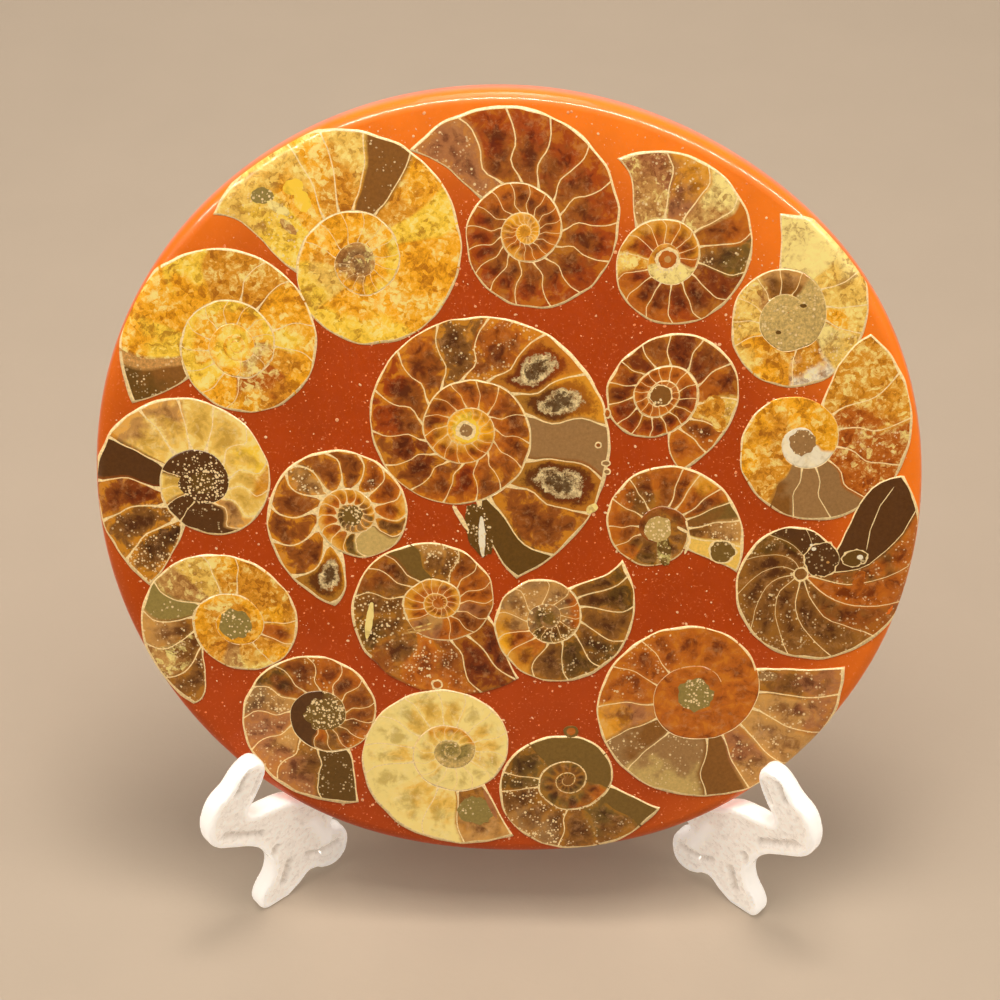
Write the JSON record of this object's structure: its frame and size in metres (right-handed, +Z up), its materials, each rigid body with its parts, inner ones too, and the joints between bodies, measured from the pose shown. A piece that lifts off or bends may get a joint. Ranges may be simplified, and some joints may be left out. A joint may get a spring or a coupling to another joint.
{
  "type": "ammonite fossil disc on a display stand",
  "caption": "Round polished disc of orange resin inlaid with sliced ammonite fossils, leaning back on a clear plastic easel of crossed plates.",
  "frame": {"origin": "on the table, under the middle of the bounding box", "axes": "+Z up, -Y towards the viewer, out of the disc's face where it leans back, and +X to the viewer's right"},
  "size_m": [0.1212, 0.0627, 0.1259],
  "materials": {
    "orange_resin": "polished",
    "clear_plastic": "milky, lightly frosted",
    "ammonite_gold_top_left_stone": "polished, translucent calcite",
    "ammonite_red_top_stone": "polished, translucent calcite",
    "ammonite_banded_top_right_stone": "polished, translucent calcite",
    "ammonite_yellow_right_rim_stone": "polished, translucent calcite",
    "ammonite_gold_left_rim_stone": "polished, translucent calcite",
    "ammonite_dark_left_rim_stone": "polished, translucent calcite",
    "ammonite_largest_middle_stone": "polished, translucent calcite",
    "ammonite_red_small_stone": "polished, translucent calcite",
    "ammonite_orange_right_rim_stone": "polished, translucent calcite",
    "ammonite_olive_small_stone": "polished, translucent calcite",
    "ammonite_fan_right_rim_stone": "polished, translucent calcite",
    "ammonite_bubbled_left_stone": "polished, translucent calcite",
    "ammonite_amber_left_rim_stone": "polished, translucent calcite",
    "ammonite_bronze_low_left_stone": "polished, translucent calcite",
    "ammonite_sunken_middle_stone": "polished, translucent calcite",
    "ammonite_olive_middle_stone": "polished, translucent calcite",
    "ammonite_cream_bottom_stone": "polished, translucent calcite",
    "ammonite_green_bottom_stone": "polished, translucent calcite",
    "ammonite_amber_low_right_stone": "polished, translucent calcite"
  },
  "bodies": {
    "root": {"resin_disc": "orange_resin", "stand_left_half": "clear_plastic", "stand_right_half": "clear_plastic", "ammonite_gold_top_left": "ammonite_gold_top_left_stone", "ammonite_red_top": "ammonite_red_top_stone", "ammonite_banded_top_right": "ammonite_banded_top_right_stone", "ammonite_yellow_right_rim": "ammonite_yellow_right_rim_stone", "ammonite_gold_left_rim": "ammonite_gold_left_rim_stone", "ammonite_dark_left_rim": "ammonite_dark_left_rim_stone", "ammonite_largest_middle": "ammonite_largest_middle_stone", "ammonite_red_small": "ammonite_red_small_stone", "ammonite_orange_right_rim": "ammonite_orange_right_rim_stone", "ammonite_olive_small": "ammonite_olive_small_stone", "ammonite_fan_right_rim": "ammonite_fan_right_rim_stone", "ammonite_bubbled_left": "ammonite_bubbled_left_stone", "ammonite_amber_left_rim": "ammonite_amber_left_rim_stone", "ammonite_bronze_low_left": "ammonite_bronze_low_left_stone", "ammonite_sunken_middle": "ammonite_sunken_middle_stone", "ammonite_olive_middle": "ammonite_olive_middle_stone", "ammonite_cream_bottom": "ammonite_cream_bottom_stone", "ammonite_green_bottom": "ammonite_green_bottom_stone", "ammonite_amber_low_right": "ammonite_amber_low_right_stone"}
  },
  "joints": []
}
